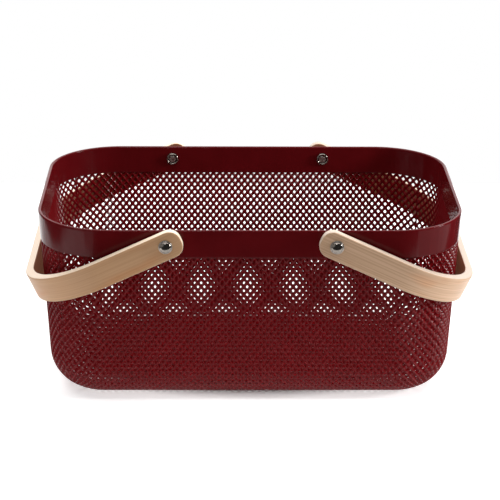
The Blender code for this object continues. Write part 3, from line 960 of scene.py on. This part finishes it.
# The studio: pale paper that ends just in front of the view and glows faintly in a ring
# round the basket, with a wide light overhead, a dim panel at the left, a small bright one
# at the right, a front key, two low cards and a rear panel. The room is dark but for them.
paper_size = (0.86, 0.86)
paper_middle = -0.07
paper_front = -0.36
paper_tone = (0.9, 0.9, 0.9, 1)
white = (1, 1, 1, 1)
glow_half_length = 0.158
glow_half_width = 0.096
glow_starts = 0.92
glow_full = 1.12
glow_strength = 0.48
fade_starts = 1.25
fade_ends = 2.3
fade_share = 0.1
room_strength = 0.06
ground = bmesh.new()
bmesh.ops.create_grid(ground, x_segments=1, y_segments=1, size=0.5)
bmesh.ops.scale(ground, verts=ground.verts, vec=(*paper_size, 1))
paper_place = (paper_middle, paper_front + paper_size[1] / 2, 0)
bmesh.ops.translate(ground, verts=ground.verts, vec=paper_place)
studio_floor = finished("studio_floor", ground)
paper, paper_tree, paper_shader = new_material("pale_paper", {
    "Base Color": paper_tone,
    "Roughness": 1.0,
    "Specular IOR Level": 0.0,
    "Emission Color": white,
})
on_paper = paper_tree.nodes.new("ShaderNodeTexCoord").outputs["Object"]
oval = stretched_place(paper_tree, on_paper, (1 / glow_half_length, 1 / glow_half_width, 0.0))
from_centre = wired(paper_tree, "ShaderNodeVectorMath", {0: oval})
from_centre.operation = "LENGTH"
inner_rise = wired(paper_tree, "ShaderNodeMapRange", {
    "Value": from_centre.outputs["Value"],
    "From Min": glow_starts,
    "From Max": glow_full,
    "To Max": glow_strength,
})
outer_fall = wired(paper_tree, "ShaderNodeMapRange", {
    "Value": from_centre.outputs["Value"],
    "From Min": fade_starts,
    "From Max": fade_ends,
    "To Min": 1.0,
    "To Max": fade_share,
})
glow = worked_out(paper_tree, "MULTIPLY", inner_rise.outputs["Result"], outer_fall.outputs["Result"])
paper_tree.links.new(glow, paper_shader.inputs["Emission Strength"])
studio_floor.data.materials.append(paper)

world = bpy.data.worlds.new("studio")
world.use_nodes = True
room = world.node_tree
backdrop = room.nodes["Background"]
backdrop.inputs["Color"].default_value = white
dark_room = wired(room, "ShaderNodeBackground", {"Color": white, "Strength": room_strength})
seen = wired(room, "ShaderNodeLightPath", {})
choice = wired(room, "ShaderNodeMixShader", {
    "Fac": seen.outputs["Is Camera Ray"],
    1: dark_room.outputs["Background"],
    2: backdrop.outputs["Background"],
})
room.links.new(choice.outputs["Shader"], room.nodes["World Output"].inputs["Surface"])
bpy.context.scene.world = world


def soft_panel(name, place, size, radiance, aim=(0.0, 0.0, 0.1)):
    """Flat soft light; its power follows from its size and brightness."""
    data = bpy.data.lights.new(name, "AREA")
    data.shape = "RECTANGLE"
    data.size = size[0]
    data.size_y = size[1]
    data.energy = radiance * math.pi * size[0] * size[1]
    panel = bpy.data.objects.new(name, data)
    panel.location = place
    panel.rotation_euler = (Vector(aim) - Vector(place)).to_track_quat("-Z", "Y").to_euler()
    panel.visible_camera = False
    bpy.context.scene.collection.objects.link(panel)
    return panel


def low_card(name, place, turn, size, radiance):
    """Lit card lying flat beside the basket, that shows as a soft reflection in the band."""
    card = soft_panel(name, place, size, radiance)
    card.rotation_euler = (math.pi, 0.0, math.radians(turn))


soft_panel("overhead_light", place=(0.0, 0.35, 1.6), size=(2.6, 2.2), radiance=2.85, aim=(0.0, 0.15, 0.0))
soft_panel("left_panel", place=(-1.23, -0.86, 0.6), size=(2.2, 1.2), radiance=0.4)
soft_panel("right_panel", place=(1.48, -0.26, 0.6), size=(0.3, 0.37), radiance=52.0)
soft_panel("front_key", place=(-0.15, -1.3, 1.25), size=(0.25, 0.25), radiance=12.0)
low_card("left_card", place=(-0.413, -0.348, 0.02), turn=-26.6, size=(0.30, 0.35), radiance=0.75)
low_card("right_card", place=(0.515, -0.212, 0.02), turn=45.0, size=(0.40, 0.35), radiance=1.0)
soft_panel("rear_panel", place=(0.0, 1.6, 0.8), size=(3.2, 1.6), radiance=1.6)


# The camera: a long lens a little above the rim, at the photograph's angle. Its place and
# angles are the ones fitted to the basket's outlines, pivots and mesh.
photo_width = 500
focal_pixels = 1906.1
film_width = 36.0
nearest_seen = 0.05
camera_distance = 1.71905
camera_elevation = math.radians(19.870)
camera_yaw = math.radians(0.942)
camera_roll = math.radians(0.387)
camera_target = Vector((0.0011, 0.0, 0.09913))
camera_data = bpy.data.cameras.new("camera")
camera_data.sensor_width = film_width
camera_data.lens = focal_pixels * film_width / photo_width
camera_data.clip_start = nearest_seen
camera = bpy.data.objects.new("camera", camera_data)
bpy.context.scene.collection.objects.link(camera)
forward = Vector((
    math.sin(camera_yaw) * math.cos(camera_elevation),
    math.cos(camera_yaw) * math.cos(camera_elevation),
    -math.sin(camera_elevation),
))
tilt = Matrix.Rotation(math.pi / 2 - camera_elevation, 4, "X")
turn = Matrix.Rotation(-camera_yaw, 4, "Z") @ tilt
camera_place = Matrix.Translation(camera_target - forward * camera_distance)
camera.matrix_world = camera_place @ turn @ Matrix.Rotation(camera_roll, 4, "Z")
bpy.context.scene.camera = camera
bpy.context.scene.view_settings.view_transform = "Standard"
